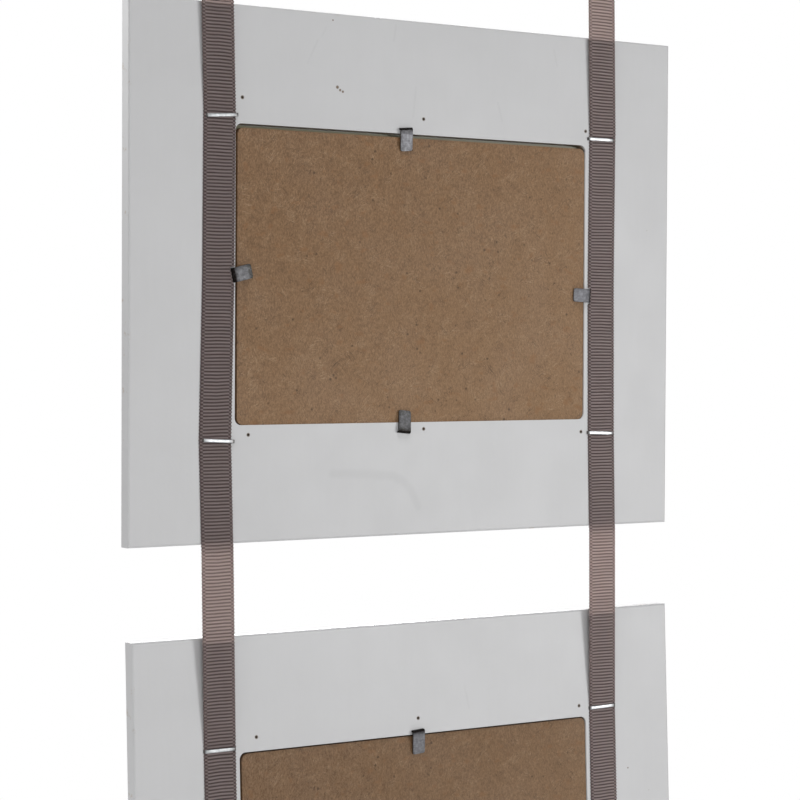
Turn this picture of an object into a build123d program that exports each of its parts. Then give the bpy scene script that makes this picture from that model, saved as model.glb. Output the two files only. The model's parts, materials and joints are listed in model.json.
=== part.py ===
from build123d import *
import os
from math import asin, atan2, cos, degrees, hypot, radians, sin

# A hanging collage photo frame: board panels, one under another, stapled to two ribbons.
# Sizes are in millimetres. The front faces -Y, the back faces +Y and +Z is up.
# Left and right are as seen from the front, so left is -X.
# The origin lies midway between the two eyelets that the ribbons hang from.

# Panels
panel_names = ("top", "middle", "bottom")
panel_width = 238.0
panel_height = 190.0
panel_gap = 33.2
board_thickness = 6.0
board_edge_radius = 0.8

# How far each panel hangs out of plumb, in degrees, with its lower edge back:
# its weight lies in front of the ribbons, and the panels below pull it straight.
hang_tilt = {"top": 0.7, "middle": 1.4, "bottom": 4.0}

# How far each panel hangs to one side, as the ribbons are stapled by eye
hang_shift = {"top": 0.0, "middle": 0.0, "bottom": -3.2}

# Opening cut through the board for the glass and what lies behind it
opening_width = 155.0
opening_height = 106.5
opening_corner_radius = 2.5

# Glass, photo card and backing board, which lie in the opening with some play
glass_thickness = 2.0
card_thickness = 0.4
backing_thickness = 3.0
glass_side_clearance = 0.5
glass_top_clearance = 0.4
backing_side_clearance = 0.62
backing_top_clearance = 1.4

# How far up and how far towards +X each backing board is held by its tabs
backing_rise = {"top": 0.4, "middle": 0.0, "bottom": 0.8}
backing_shift = {"top": 0.2, "middle": -0.55, "bottom": -0.48}

# Mitred moulding round the window on the front, whose lip keeps the glass in
rail_width = 17.0
rail_thickness = 10.0
rail_past_opening = 11.0
rail_outer_round = 3.0
rail_land = 3.0
rail_lip_land = 3.0
rail_lip_thickness = 5.0

# Brads driven from the back through the board into the moulding
brad_width = 0.9
brad_thickness = 0.8
brad_hole_clearance = 0.02
brad_sink = 0.4
brad_bite = 6.0
brad_past_opening = 5.5
brad_corner_inset = 3.0

# Ribbons
ribbon_width = 13.0
ribbon_thickness = 0.5
ribbon_past_opening = 1.0
ribbon_tail = 12.0

# Where a ribbon bends, its two stretches meet at a round end with a small gap.
bend_lift = 0.1
bend_gap = 0.1
bend_below_board = 0.7

# Staples, four to a panel, of flat wire
staple_crown = 12.8
staple_wire_width = 1.2
staple_wire_thickness = 0.6
staple_leg = 5.0
staple_shoulder_radius = 0.45
staple_above_opening = 2.35
staple_below_opening = 5.35
staple_to_bend = 2.0

# Bent metal tabs, one on each side of the opening
tab_width = 5.2
tab_thickness = 0.6
tab_height = 0.9
tab_leg_depth = 5.0
tab_tip_radius = 1.2
tab_point = 1.5
tab_bend_gap = 0.12
tab_tip_clearance = 0.1
tab_notch_clearance = 0.3

# Hanging ends of the ribbons, hemmed double round an eyelet
hang_drop = 60.0
hem_above_eyelet = 8.0
hem_below_eyelet = 10.0
eyelet_hole_radius = 2.5
eyelet_wall = 0.5
eyelet_flange_radius = 4.75
eyelet_flange_thickness = 0.5
eyelet_rim_slope = 1.0
eyelet_rim_edge = 0.2
eyelet_fit = 0.02

# The tabs, staples and brads are driven by hand, so each stands a little off its neighbours.
# How far along its edge of the opening and outside it each tab stands, and how far it reaches
tab_marks = {
    "top": {
        "top": (-3.0, 2.0, 8.5), "right": (-3.0, 1.1, 8.1),
        "bottom": (4.0, 2.4, 8.4), "left": (2.0, 1.6, 7.8),
    },
    "middle": {
        "top": (6.35, 1.9, 8.35), "right": (-0.35, 1.05, 8.1),
        "bottom": (6.6, 3.7, 8.25), "left": (-5.2, 2.0, 7.35),
    },
    "bottom": {
        "top": (1.8, 1.45, 8.9), "right": (-2.0, 1.2, 8.2),
        "bottom": (-4.0, 2.6, 8.5), "left": (3.0, 1.5, 8.0),
    },
}
# How many degrees each tab is turned in the plane of the board
tab_turn_deg = {
    "top": {"top": 2, "right": -2, "bottom": -3, "left": 4},
    "middle": {"top": 5, "right": 13, "bottom": -6, "left": -3},
    "bottom": {"top": 4, "right": 3, "bottom": -2, "left": -4},
}
# How far each staple stands off the middle of its ribbon towards +X, and how far up
staple_marks = {
    "top": {
        "top_left": (0.3, -0.2), "top_right": (-0.6, 0.3),
        "bottom_left": (0.4, 0.2), "bottom_right": (0.2, -0.3),
    },
    "middle": {
        "top_left": (0.3, 0.3), "top_right": (-2.0, 0.1),
        "bottom_left": (-0.45, -0.1), "bottom_right": (-0.85, 0.0),
    },
    "bottom": {
        "top_left": (-0.4, 0.8), "top_right": (0.6, -0.6),
        "bottom_left": (0.3, 0.1), "bottom_right": (-0.3, -0.4),
    },
}
# How many degrees each staple is turned in the plane of the board
staple_turn_deg = {
    "top": {"top_left": 1, "top_right": -1, "bottom_left": 0, "bottom_right": 2},
    "middle": {"top_left": 0, "top_right": 4, "bottom_left": -2, "bottom_right": -3},
    "bottom": {"top_left": 1, "top_right": 0, "bottom_left": -1, "bottom_right": 1},
}
# How far each brad stands off its even spacing, towards +X and up
brad_marks = {
    "top": {
        "upper": ((1.2, -0.6), (2.0, 0.5), (-1.4, 1.2)),
        "lower": ((-0.8, 1.0), (-1.6, 1.8), (0.9, -0.5)),
    },
    "middle": {
        "upper": ((-3.0, 0.0), (-1.9, 0.35), (0.3, 3.65)),
        "lower": ((-1.7, 0.65), (-2.6, 2.95), (-2.5, 2.05)),
    },
    "bottom": {
        "upper": ((0.2, -1.2), (1.2, 0.4), (-4.0, -0.45)),
        "lower": ((0.6, 1.4), (-2.2, 0.7), (1.5, -0.9)),
    },
}

# Places worked out from the sizes above, in a panel's own frame:
# its origin is the panel's centre, in the middle plane of the ribbons.
board_back = -(ribbon_thickness / 2 + bend_lift)
board_front = board_back - board_thickness
ribbon_face = board_back + ribbon_thickness
top_staple_z = opening_height / 2 + staple_above_opening
bottom_staple_z = -opening_height / 2 - staple_below_opening
upper_bend_z = top_staple_z + staple_to_bend
upper_bend_drop = panel_height / 2 - upper_bend_z
lower_bend_z = -panel_height / 2 - bend_below_board
link_length = panel_gap - bend_below_board + upper_bend_drop
moulding_width = opening_width + 2 * rail_past_opening
moulding_height = opening_height + 2 * rail_past_opening
glass_back = board_front + glass_thickness
card_back = glass_back + card_thickness
backing_back = card_back + backing_thickness
tab_bend_y = board_back + tab_height + tab_thickness / 2
tab_tip_drop = tab_bend_y - backing_back - tab_tip_clearance
ribbon_x = (opening_width + ribbon_width) / 2 + ribbon_past_opening
ribbon_places = {"left": -ribbon_x, "right": ribbon_x}
edge_turn_deg = {"top": 0, "right": 90, "bottom": 180, "left": -90}


def slab(sketch, back, thickness):
    """A sketch drawn in the X-Z plane, thickened forwards from y = back."""
    return Pos(0, back, 0) * extrude(Plane.XZ * sketch, thickness)


def ribbon_strip(width, top, bottom, back):
    """A straight length of ribbon between two heights, with its rear face at y = back."""
    strip = Pos(0, (top + bottom) / 2) * Rectangle(width, top - bottom)
    return slab(strip, back, ribbon_thickness)


def round_end(height):
    """The rounded end of a ribbon where it bends, about an axis along X."""
    return Pos(0, 0, height) * Rot(0, 90, 0) * Cylinder(ribbon_thickness / 2, ribbon_width)


def moulding_profile():
    """Section of the moulding: x runs back to front as minus, y runs inwards as minus."""
    land_end = rail_outer_round + rail_land
    cove_end = rail_width - rail_lip_land
    outer = Line((0, 0), (rail_outer_round - rail_thickness, 0))
    outer_round = CenterArc(
        (rail_outer_round - rail_thickness, -rail_outer_round), rail_outer_round, 90, 90
    )
    land = Line((-rail_thickness, -rail_outer_round), (-rail_thickness, -land_end))
    cove = TangentArc(
        (-rail_lip_thickness, -cove_end), (-rail_thickness, -land_end), tangent=(0, 1)
    )
    lip_land = Line((-rail_lip_thickness, -cove_end), (-rail_lip_thickness, -rail_width))
    inner = Line((-rail_lip_thickness, -rail_width), (0, -rail_width))
    seat = Line((0, -rail_width), (0, 0))
    return make_face(outer + outer_round + land + cove + lip_land + inner + seat)


def moulding_rail(length, reach):
    """One mitred length of moulding along X, with its outer edge at z = reach."""
    profile = Pos(board_front, reach) * moulding_profile()
    bar = extrude(Plane.YZ * profile, length / 2, both=True)
    half = length / 2
    mitre = Polygon(
        (-half, reach),
        (-half + rail_width, reach - rail_width),
        (half - rail_width, reach - rail_width),
        (half, reach),
        align=None,
    )
    return bar & slab(mitre, board_front, rail_thickness)


def brad_places(panel):
    """Two brads by the corners and one midway, above and below the opening."""
    corner = opening_width / 2 - brad_corner_inset
    height = opening_height / 2 + brad_past_opening
    places = []
    for row, z in (("upper", height), ("lower", -height)):
        for x, (across, up) in zip((-corner, 0, corner), brad_marks[panel][row]):
            places.append(Pos(x + across, 0, z + up))
    return places


def brad():
    """A brad of flat wire along Y, with its end sunk below the back of the board."""
    length = board_thickness - brad_sink + brad_bite
    return Pos(0, board_back - brad_sink - length / 2, 0) * Box(brad_width, length, brad_thickness)


def brad_hole():
    """The hole that a brad leaves, from the back of the board to the brad's point."""
    width = brad_width + 2 * brad_hole_clearance
    thickness = brad_thickness + 2 * brad_hole_clearance
    length = board_thickness + brad_bite
    return Pos(0, board_back - length / 2, 0) * Box(width, length, thickness)


def staple():
    """A staple across a ribbon, in the board's plane at its own mark."""
    crown_middle = ribbon_face + staple_wire_thickness / 2
    crown = Pos(0, crown_middle, 0) * Box(staple_crown, staple_wire_thickness, staple_wire_width)
    leg = Box(staple_wire_thickness, staple_leg, staple_wire_width)
    leg_x = (staple_crown - staple_wire_thickness) / 2
    legs = [Pos(x, ribbon_face - staple_leg / 2, 0) * leg for x in (-leg_x, leg_x)]
    wire = crown + legs
    shoulders = wire.edges().filter_by(Axis.Z).group_by(Axis.Y)[-1]
    return fillet(shoulders, staple_shoulder_radius)


def staple_places(panel):
    """Where the four staples of a panel stand."""
    heights = {"top": top_staple_z, "bottom": bottom_staple_z}
    places = []
    for mark, (across, up) in staple_marks[panel].items():
        row, side = mark.split("_")
        turn = staple_turn_deg[panel][mark]
        places.append(Pos(ribbon_places[side] + across, 0, heights[row] + up) * Rot(0, turn, 0))
    return places


def tab_place(panel, side):
    """The bend line of a tab: X runs along the bend, and the tab reaches towards -Z."""
    along, outside, _ = tab_marks[panel][side]
    half = opening_width / 2 if side in ("left", "right") else opening_height / 2
    edge = Rot(0, edge_turn_deg[side], 0) * Pos(0, tab_bend_y, half + outside)
    across = Pos(0, 0, along) if side in ("left", "right") else Pos(along, 0, 0)
    return across * edge * Rot(0, tab_turn_deg[panel][side], 0)


def tab_tongue(reach):
    """The part of a tab that slopes down to the backing board, round at the bend."""
    half = tab_thickness / 2
    plate = Pos(0, -reach / 2) * Rectangle(tab_width, reach)
    plate = fillet(plate.vertices().group_by(Axis.Y)[0], tab_tip_radius)
    tongue = slab(plate, half, tab_thickness) + Rot(0, 90, 0) * Cylinder(half, tab_width)
    press = asin(tab_tip_drop / hypot(reach, half)) - atan2(half, reach)
    return Rot(-degrees(press), 0, 0) * tongue


def tab_leg():
    """The part of a tab that is driven into the board, with a pointed end."""
    top = -tab_thickness / 2 - tab_bend_gap
    end = -tab_thickness / 2 - tab_height - tab_leg_depth
    half = tab_width / 2
    outline = Polygon(
        (-half, top), (-half, end + tab_point), (-half + tab_point, end),
        (half - tab_point, end), (half, end + tab_point), (half, top),
        align=None,
    )
    return extrude(outline, tab_thickness / 2, both=True)


def tab_notch():
    """Room beside a tab's leg, where it presses the edge of a ribbon aside."""
    width = tab_width + 2 * tab_notch_clearance
    depth = 2 * tab_height + tab_thickness
    thickness = tab_thickness + 2 * tab_notch_clearance
    return Box(width, depth, thickness)


def board(panel):
    """The panel's board, with its opening and every hole driven into it."""
    blank = slab(Rectangle(panel_width, panel_height), board_back, board_thickness)
    blank = fillet(blank.faces().filter_by(Axis.Y).edges(), board_edge_radius)
    opening = RectangleRounded(opening_width, opening_height, opening_corner_radius)
    blank -= slab(opening, board_back, board_thickness)
    for place in brad_places(panel):
        blank -= place * brad_hole()
    for place in staple_places(panel):
        blank -= place * staple()
    for side in edge_turn_deg:
        blank -= tab_place(panel, side) * tab_leg()
    return blank


def stack_sheet(back, thickness, side_clearance, top_clearance):
    """A sheet that fills the opening and rests on its lower edge."""
    width = opening_width - 2 * side_clearance
    height = opening_height - top_clearance
    sheet = RectangleRounded(width, height, opening_corner_radius)
    return slab(Pos(0, -top_clearance / 2) * sheet, back, thickness)


def backing_board(panel):
    """The hardboard behind the card, a little short of the opening and held where its tabs press it."""
    sheet = stack_sheet(backing_back, backing_thickness, backing_side_clearance, backing_top_clearance)
    return Pos(backing_shift[panel], 0, backing_rise[panel]) * sheet


def panel_ribbon(panel, side):
    """The stretch of ribbon stapled flat to a panel's back."""
    top = upper_bend_z - ribbon_thickness / 2 - bend_gap
    bottom = lower_bend_z + ribbon_thickness / 2 + bend_gap
    if panel == panel_names[-1]:
        bottom = bottom_staple_z - ribbon_tail
    ribbon = Pos(ribbon_places[side], 0, 0) * ribbon_strip(ribbon_width, top, bottom, ribbon_face)
    for place in staple_places(panel):
        ribbon -= place * staple()
    return ribbon - tab_place(panel, side) * tab_notch()


def panel_pieces(panel):
    """Every piece of one panel, by name, in the panel's own frame."""
    holes = [place * brad_hole() for place in brad_places(panel)]
    flat = moulding_rail(moulding_width, moulding_height / 2)
    upright = moulding_rail(moulding_height, moulding_width / 2)
    pieces = {
        "board": board(panel),
        "moulding_top_rail": flat - holes,
        "moulding_bottom_rail": Rot(0, 180, 0) * flat - holes,
        "moulding_left_rail": Rot(0, -90, 0) * upright,
        "moulding_right_rail": Rot(0, 90, 0) * upright,
        "glass": stack_sheet(glass_back, glass_thickness, glass_side_clearance, glass_top_clearance),
        "photo_card": stack_sheet(card_back, card_thickness, glass_side_clearance, glass_top_clearance),
        "backing_board": backing_board(panel),
        "brads": [place * brad() for place in brad_places(panel)],
        "staples": [place * staple() for place in staple_places(panel)],
        "tab_legs": [tab_place(panel, side) * tab_leg() for side in edge_turn_deg],
        "left_ribbon": panel_ribbon(panel, "left"),
        "right_ribbon": panel_ribbon(panel, "right"),
    }
    for side, (_, _, reach) in tab_marks[panel].items():
        pieces[f"{side}_tab"] = tab_place(panel, side) * tab_tongue(reach)
    return pieces


def hanging_ribbon(length):
    """A ribbon's upper end, from its hem round the eyelet down to the first bend."""
    middle = ribbon_thickness / 2
    fold_z = hem_above_eyelet - ribbon_thickness
    ribbon = ribbon_strip(ribbon_width, fold_z, -length, middle) + round_end(-length)
    ribbon += ribbon_strip(ribbon_width, fold_z, -hem_below_eyelet, middle + ribbon_thickness)
    ribbon += Pos(0, middle, fold_z) * Rot(0, 90, 0) * Cylinder(ribbon_thickness, ribbon_width)
    hole = Cylinder(eyelet_hole_radius + eyelet_wall + eyelet_fit, 2 * ribbon_thickness)
    return ribbon - Pos(0, middle, 0) * Rot(90, 0, 0) * hole


def eyelet():
    """A rolled eyelet that clamps both layers of a hem, with its hole along Y."""
    barrel_radius = eyelet_hole_radius + eyelet_wall
    crown_radius = eyelet_flange_radius - eyelet_rim_slope
    seat = ribbon_thickness
    rim = seat + eyelet_rim_edge
    crown = seat + eyelet_flange_thickness
    section = Polygon(
        (eyelet_hole_radius, -crown), (crown_radius, -crown), (eyelet_flange_radius, -rim),
        (eyelet_flange_radius, -seat), (barrel_radius, -seat), (barrel_radius, seat),
        (eyelet_flange_radius, seat), (eyelet_flange_radius, rim), (crown_radius, crown),
        (eyelet_hole_radius, crown),
        align=None,
    )
    body = revolve(Plane.XZ * section, Axis.Z)
    return Pos(0, ribbon_thickness / 2, 0) * Rot(90, 0, 0) * body


def link_ribbon(shift):
    """A stretch of ribbon from one panel's lower edge to the next panel, which hangs aside."""
    half = ribbon_width / 2
    outline = Polygon(
        (-half, 0), (shift - half, -link_length), (shift + half, -link_length), (half, 0),
        align=None,
    )
    strip = slab(outline, ribbon_thickness / 2, ribbon_thickness)
    return strip + round_end(0) + Pos(shift, 0, 0) * round_end(-link_length)


def save(name, pieces, place=Pos(0, 0, 0)):
    """Write one node, of one solid or of a group of separate solids."""
    if isinstance(pieces, list):
        shape = Compound(children=[place * piece for piece in pieces])
    else:
        shape = place * pieces
    export_step(shape, f"parts/{name}.step")


os.makedirs("parts", exist_ok=True)

# The ribbons' upper ends and their eyelets
bend_y = 0.0
bend_z = -(hang_drop + upper_bend_drop)
for side, x in ribbon_places.items():
    save(f"hanging_{side}_ribbon", Pos(x, 0, 0) * hanging_ribbon(-bend_z))
save("eyelets", [Pos(x, 0, 0) * eyelet() for x in ribbon_places.values()])

# Each panel hangs from the bend at its upper staples, and the next links from its lower edge.
links = {"top": ("upper_link", "middle"), "middle": ("lower_link", "bottom")}
for panel in panel_names:
    tilt = hang_tilt[panel]
    shift = hang_shift[panel]
    panel_place = Pos(shift, bend_y, bend_z) * Rot(tilt, 0, 0) * Pos(0, 0, -upper_bend_z)
    for name, piece in panel_pieces(panel).items():
        save(f"{panel}_panel_{name}", piece, panel_place)
    drop = upper_bend_z - lower_bend_z
    bend_y += drop * sin(radians(tilt))
    bend_z -= drop * cos(radians(tilt))
    if panel in links:
        link, below = links[panel]
        for side, x in ribbon_places.items():
            ribbon = link_ribbon(hang_shift[below] - shift)
            save(f"{link}_{side}_ribbon", ribbon, Pos(x + shift, bend_y, bend_z))
        bend_z -= link_length
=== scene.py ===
import json
import math

import bmesh
import bpy
from mathutils import Matrix, Vector, noise

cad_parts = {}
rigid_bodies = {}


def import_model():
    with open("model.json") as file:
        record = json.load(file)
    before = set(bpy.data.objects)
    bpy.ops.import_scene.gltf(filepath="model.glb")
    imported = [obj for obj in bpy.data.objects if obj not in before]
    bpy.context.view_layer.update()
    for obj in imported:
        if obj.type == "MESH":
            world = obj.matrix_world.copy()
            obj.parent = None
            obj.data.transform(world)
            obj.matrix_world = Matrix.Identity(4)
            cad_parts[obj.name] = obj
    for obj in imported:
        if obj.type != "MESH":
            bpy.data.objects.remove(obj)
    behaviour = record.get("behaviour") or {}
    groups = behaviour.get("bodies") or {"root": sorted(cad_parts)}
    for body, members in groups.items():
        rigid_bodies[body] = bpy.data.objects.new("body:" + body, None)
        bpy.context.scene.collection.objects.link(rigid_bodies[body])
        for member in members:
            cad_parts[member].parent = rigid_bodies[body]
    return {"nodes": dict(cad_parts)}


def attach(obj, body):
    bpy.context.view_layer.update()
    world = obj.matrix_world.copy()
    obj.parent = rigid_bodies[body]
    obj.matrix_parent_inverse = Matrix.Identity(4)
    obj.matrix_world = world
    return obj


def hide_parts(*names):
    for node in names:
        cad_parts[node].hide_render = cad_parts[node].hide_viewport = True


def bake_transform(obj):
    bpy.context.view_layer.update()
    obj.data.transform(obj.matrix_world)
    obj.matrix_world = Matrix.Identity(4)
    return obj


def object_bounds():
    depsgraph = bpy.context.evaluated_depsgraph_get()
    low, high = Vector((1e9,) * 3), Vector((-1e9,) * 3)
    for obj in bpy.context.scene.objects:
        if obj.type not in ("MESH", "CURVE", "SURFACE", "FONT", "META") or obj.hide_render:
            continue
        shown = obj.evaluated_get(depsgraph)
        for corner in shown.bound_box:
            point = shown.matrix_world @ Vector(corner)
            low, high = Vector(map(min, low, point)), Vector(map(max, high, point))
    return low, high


# A hanging collage photo frame, seen from behind: lacquered panels stapled to two grosgrain ribbons.
# Shapes are drawn in millimetres in the frame of the panel or ribbon that carries them.

for leftover in list(bpy.data.objects):
    bpy.data.objects.remove(leftover)
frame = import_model()
cad_box = [list(corner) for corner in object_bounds()]

MM = 0.001
PANELS = ("top", "middle", "bottom")
SIDES = {"left": -1, "right": 1}

# Panels and how they hang
PANEL_WIDTH = 238.0
PANEL_HEIGHT = 190.0
PANEL_GAP = 33.2
OPENING_WIDTH = 155.0
OPENING_HEIGHT = 106.5
HANG_TILT = {"top": 0.7, "middle": 1.4, "bottom": 4.0}
HANG_SHIFT = {"top": 0.0, "middle": 0.0, "bottom": -3.2}
HANG_DROP = 60.0
BOARD_BACK = -0.35
GLASS_BACK = -4.35
CARD_BACK = -3.95
CARD_PLAY = 0.06
CARD_SIDE_CLEARANCE = 0.5
CARD_TOP_CLEARANCE = 0.4
CORNER_RADIUS = 2.5
CORNER_STEPS = 6

# Ribbons
RIBBON_X = 85.0
RIBBON_HALF = 6.4
RIBBON_THICKNESS = 0.29
RIBBON_FACE = 0.25
RIBBON_ON_BOARD = -0.1
RIB_PITCH = 1.2
RIB_DEPTH = 0.16
RIB_ROWS = 7
RIBBON_TAIL = 12.0
HEM_TOP = 8.0
HEM_DROP = 10.0
HEM_GAP = 0.5
FOLD_FACE = 0.1
EYELET_CUT = 3.5
FOLD_FADE = 1.5
HEM_REACH = 40.0
BELOW_HEM = -20.0 * MM
BEND_BELOW_BOARD = 0.7

# How far the ribs waver, over long and short stretches, in rib pitches, and where their noise is read
LONG_WAVER = 0.16
SHORT_WAVER = 0.05
WAVER_SEED = 3.7
RIB_FULLNESS = 0.85

# The woven edge of a ribbon, out from its middle: where it starts, its outer cord and its loops
SELVEDGE = 5.0
SELVEDGE_FADE = 0.22
SELVEDGE_CORD = 5.8
SELVEDGE_CORD_FADE = 0.5
LOOP_START = 5.4
LOOP_REACH = 0.3
# How high the edge stands as a share of a rib: between its loops, on them, and how much lower on the cord
SELVEDGE_LOW = 0.12
SELVEDGE_LOOP = 0.62
SELVEDGE_CORD_LOW = 0.35
# The edge turns down over the last of the half width
SELVEDGE_DROP = 0.14
SELVEDGE_TURN = 0.93
SELVEDGE_TURN_FADE = 0.07

# How a staple presses a ribbon down, and a side tab presses its edge aside
PRESSED_FACE = 0.02
PRESS_SHARE = 0.55
PRESS_LENGTH = 0.9
DENT_GAP = 0.12
DENT_FADE = 0.7
DENT_SPREAD = 2.6

# Staples
STAPLE_CROWN = 12.8
STAPLE_WIDTH = 1.2
STAPLE_THICKNESS = 0.6
STAPLE_LEG = 2.4
STAPLE_SEAT = 0.15
STAPLE_RADIUS = 0.6
STAPLE_STEPS = 6
STAPLE_SAG = 0.06
STAPLE_EASE = 0.13
# Painted shade on a staple's shoulders and legs: the point along the wire it is measured from, how far from
# it the shade starts, and over what length it fades in
STAPLE_MIDDLE = -0.3
STAPLE_PAINTED_SHADE = 5.5
STAPLE_PAINTED_SHADE_FADE = 0.4
TOP_STAPLE_Z = OPENING_HEIGHT / 2 + 2.35
BOTTOM_STAPLE_Z = -OPENING_HEIGHT / 2 - 5.35
# Each staple: off the middle of its ribbon, up, and degrees turned
STAPLE_MARKS = {
    "top": {"top_left": (0.3, -0.2, 1), "top_right": (-0.6, 0.3, -1),
            "bottom_left": (0.4, 0.2, 0), "bottom_right": (0.2, -0.3, 2)},
    "middle": {"top_left": (0.3, 0.3, 0), "top_right": (-2.0, 0.1, 4),
               "bottom_left": (-0.45, -0.1, -2), "bottom_right": (-0.85, 0.0, -3)},
    "bottom": {"top_left": (-0.4, 0.8, 1), "top_right": (0.6, -0.6, 0),
               "bottom_left": (0.3, 0.1, -1), "bottom_right": (-0.3, -0.4, 1)},
}

# Tabs
TAB_WIDTH = 5.2
TAB_THICKNESS = 0.6
TAB_HEIGHT = 0.9
TAB_BEND = 0.55
TAB_BEND_STEPS = 8
TAB_IN_BOARD = 2.0
TAB_ROWS = [2.4, 4.2, 5.6]
TAB_TIP_ROWS = (0.0, 0.25, 0.5, 0.7, 0.85, 0.94, 1.0)
TAB_TIP_RADIUS = 0.8
TAB_BEND_Y = BOARD_BACK + TAB_HEIGHT + TAB_THICKNESS / 2
TAB_TIP_DROP = 1.7
TAB_EASE = 0.09
TAB_EDGES = {"top": 0, "right": 90, "bottom": 180, "left": -90}
# Each tab: along the edge of the opening, outside it, how far it reaches, and degrees turned
TAB_MARKS = {
    "top": {"top": (-3.0, 2.0, 8.5, 2), "right": (-3.0, 1.1, 8.1, -2),
            "bottom": (4.0, 2.4, 8.4, -3), "left": (2.0, 1.6, 7.8, 4)},
    "middle": {"top": (6.35, 1.9, 8.35, 5), "right": (-0.35, 1.05, 8.1, 13),
               "bottom": (6.6, 3.7, 8.25, -6), "left": (-5.2, 2.0, 7.35, -3)},
    "bottom": {"top": (1.8, 1.45, 8.9, 4), "right": (-2.0, 1.2, 8.2, 3),
               "bottom": (-4.0, 2.6, 8.5, -2), "left": (3.0, 1.5, 8.0, -4)},
}
# How soiled each tab is, all over and at its tip, and how much painted shade darkens it towards its bend
TAB_SOIL_AND_SHADE = {
    "top": (0.15, 0.15, 0.0),
    "right": (0.45, 0.7, 0.0),
    "bottom": (0.62, 0.2, 0.4),
    "left": (0.0, 0.1, 0.0),
}
# How far the soiling reaches from the tip and the painted shade from the bend, and over what length each
# fades
TIP_SOIL, TIP_SOIL_FADE = 1.9, 1.2
BROAD_BEND_SHADE, BROAD_BEND_SHADE_FADE = 0.6, 1.8
# How far painted shade reaches from the bend and, on a cut edge, from the middle of the thickness
BEND_PAINTED_SHADE, BEND_PAINTED_SHADE_FADE = 0.55, 0.4
EDGE_PAINTED_SHADE, EDGE_PAINTED_SHADE_FADE = 0.215, 0.06

# Bent metal strips
STRIP_COLUMNS = 4
SHARP_ANGLE = 0.9

# Heights of the bends, in a panel's own frame
UPPER_BEND_Z = TOP_STAPLE_Z + 2.0
LOWER_BEND_Z = -PANEL_HEIGHT / 2 - BEND_BELOW_BOARD
UPPER_BEND_DROP = PANEL_HEIGHT / 2 - UPPER_BEND_Z
LINK_LENGTH = PANEL_GAP - BEND_BELOW_BOARD + UPPER_BEND_DROP


def smooth(t):
    """0 up to 0, 1 from 1 on, and an even slope between."""
    t = min(max(t, 0.0), 1.0)
    return t * t * (3 - 2 * t)


def hang_chain():
    """The frame of every body of the chain, from its own millimetres to metres."""
    scale = Matrix.Scale(MM, 4)
    places = {"hanger": scale.copy()}
    bend = Vector((0, 0, -(HANG_DROP + UPPER_BEND_DROP)))
    for panel, link in zip(PANELS, ("upper_link", "lower_link", None)):
        bend.x = HANG_SHIFT[panel]
        turn = Matrix.Rotation(math.radians(HANG_TILT[panel]), 4, "X")
        down = Matrix.Translation((0, 0, -UPPER_BEND_Z))
        places[panel] = scale @ Matrix.Translation(bend) @ turn @ down
        bend = bend + turn @ Vector((0, 0, LOWER_BEND_Z - UPPER_BEND_Z))
        if link:
            places[link] = scale @ Matrix.Translation(bend)
            bend.z -= LINK_LENGTH
    return places


PLACES = hang_chain()


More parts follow.
